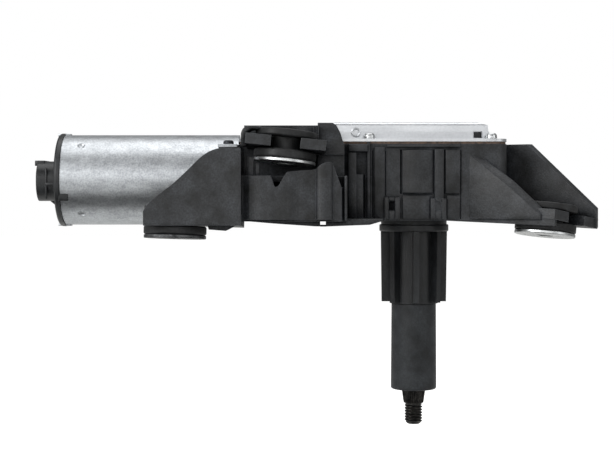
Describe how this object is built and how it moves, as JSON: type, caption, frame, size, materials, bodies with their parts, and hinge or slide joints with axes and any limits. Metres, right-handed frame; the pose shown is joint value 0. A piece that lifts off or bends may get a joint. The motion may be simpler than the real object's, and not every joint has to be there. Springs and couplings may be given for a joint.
{
  "type": "rear wiper motor",
  "caption": "Rear window wiper motor: steel motor can, worm gear housing with three rubber-mounted arms, ribbed collar and splined wiper shaft.",
  "frame": {"origin": "on the wiper shaft's axis, level with the underside of the gear housing's floor", "axes": "+X from the motor to the free arm, +Y to the back wall, +Z from the shaft's free end up to the cover"},
  "size_m": [0.2432, 0.1064, 0.1318],
  "materials": {
    "moulded_black": "glass-filled moulded, fine grain",
    "cap_plastic": "moulded, satin",
    "collar_plastic": "moulded, matt",
    "sleeve_plastic": "smooth, matt",
    "zinc_can": "satin zinc plate",
    "zinc_bright": "bright zinc plate",
    "cover_sheet": "bright pressed sheet",
    "gasket_rubber": "dark brown cork rubber",
    "grommet_rubber": "matt moulded rubber",
    "shaft_steel": "phosphated, oiled",
    "screw_steel": "zinc plate",
    "dark_screw": "black passivated",
    "inner_steel": "ground",
    "sintered_bronze": "sintered, oiled",
    "gear_plastic": "natural acetal",
    "copper": "enamelled wire and bare bars",
    "terminal_brass": "tinned",
    "lamination_steel": "stacked sheet",
    "ferrite": "sintered ferrite",
    "carbon": "pressed carbon",
    "board": "phenolic sheet"
  },
  "bodies": {
    "frame": {"gear_housing": "moulded_black", "cover_gasket": "gasket_rubber", "cover": "cover_sheet", "cover_screws": "screw_steel", "motor_can": "zinc_can", "end_cap": "cap_plastic", "plug_terminals": "terminal_brass", "brush_plate": "board", "brush_boxes": "terminal_brass", "carbon_brushes": "carbon", "brush_springs": "inner_steel", "field_magnets": "ferrite", "rear_bearing": "sintered_bronze", "front_bearing": "sintered_bronze", "worm_end_bearing": "sintered_bronze", "thrust_pad": "inner_steel", "wheel_axle": "inner_steel", "contact_holder": "cap_plastic", "contact_fingers": "terminal_brass", "thrust_washer": "inner_steel", "guide_tube": "inner_steel", "shaft_bush_upper": "sintered_bronze", "shaft_bush_lower": "sintered_bronze", "shaft_seal": "grommet_rubber", "ribbed_collar": "collar_plastic", "shaft_sleeve": "sleeve_plastic", "ear_screws": "dark_screw", "left_grommet": "grommet_rubber", "middle_grommet": "grommet_rubber", "right_grommet": "grommet_rubber", "left_bush": "zinc_bright", "middle_bush": "zinc_bright", "right_bush": "zinc_bright"},
    "armature": {"armature_shaft": "inner_steel", "commutator": "copper", "commutator_sleeve": "board", "armature_core": "lamination_steel", "armature_windings": "copper"},
    "wheel": {"gear_wheel": "gear_plastic", "crank_pin": "inner_steel", "contact_ring": "terminal_brass"},
    "swing_shaft": {"wiper_shaft": "shaft_steel", "output_pinion": "inner_steel", "link_clip": "inner_steel", "shaft_circlip": "inner_steel"},
    "link": {"link_plate": "inner_steel", "sector_pin": "inner_steel"},
    "lever": {"sector_lever": "inner_steel"}
  },
  "joints": [
    {"name": "armature_spin", "type": "hinge", "parent": "frame", "child": "armature", "pos_m": [-0.0763, -0.00422, 0.0174], "axis": [1, 0, 0], "continuous": true},
    {"name": "wheel_spin", "type": "hinge", "parent": "frame", "child": "wheel", "pos_m": [-0.044, 0.02278, 0.0219], "axis": [0, 0, 1], "continuous": true},
    {"name": "shaft_swing", "type": "hinge", "parent": "frame", "child": "swing_shaft", "pos_m": [0, 0, 0], "axis": [0, 0, 1], "range_deg": [0, 110]},
    {"name": "link_swing", "type": "hinge", "parent": "frame", "child": "link", "pos_m": [0, 0, 0.0285], "axis": [0, 0, 1], "range_deg": [0, 36.67]},
    {"name": "lever_swing", "type": "hinge", "parent": "link", "child": "lever", "pos_m": [0.00755, 0.02278, 0.0264], "axis": [0, 0, 1], "range_deg": [-36.67, 0]}
  ],
  "couplings": [
    {"joint": "wheel_spin", "follows": "armature_spin", "ratio": -0.017857},
    {"joint": "link_swing", "follows": "shaft_swing", "ratio": 0.33333},
    {"joint": "lever_swing", "follows": "shaft_swing", "ratio": -0.33333}
  ]
}
